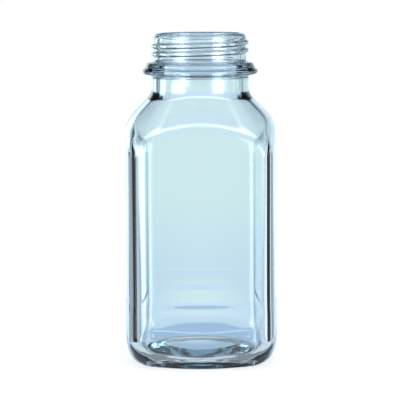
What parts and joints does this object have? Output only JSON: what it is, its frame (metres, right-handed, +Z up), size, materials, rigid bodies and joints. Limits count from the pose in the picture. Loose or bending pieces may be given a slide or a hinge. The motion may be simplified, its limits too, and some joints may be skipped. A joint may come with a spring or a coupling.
{
  "type": "square screw-neck glass jar",
  "caption": "Clear glass jar with a square body, recessed label panels, sloping shoulders and a wide round screw neck, open at the top.",
  "frame": {"origin": "centre of the base, on the plane that the foot stands on", "axes": "+Z up along the neck and mouth, +X and +Y square to the flat sides"},
  "size_m": [0.0934, 0.0934, 0.2024],
  "materials": {
    "glass": "clear, fire-polished, with a faint cyan tint"
  },
  "bodies": {
    "root": {"glass_jar": "glass"}
  },
  "joints": []
}
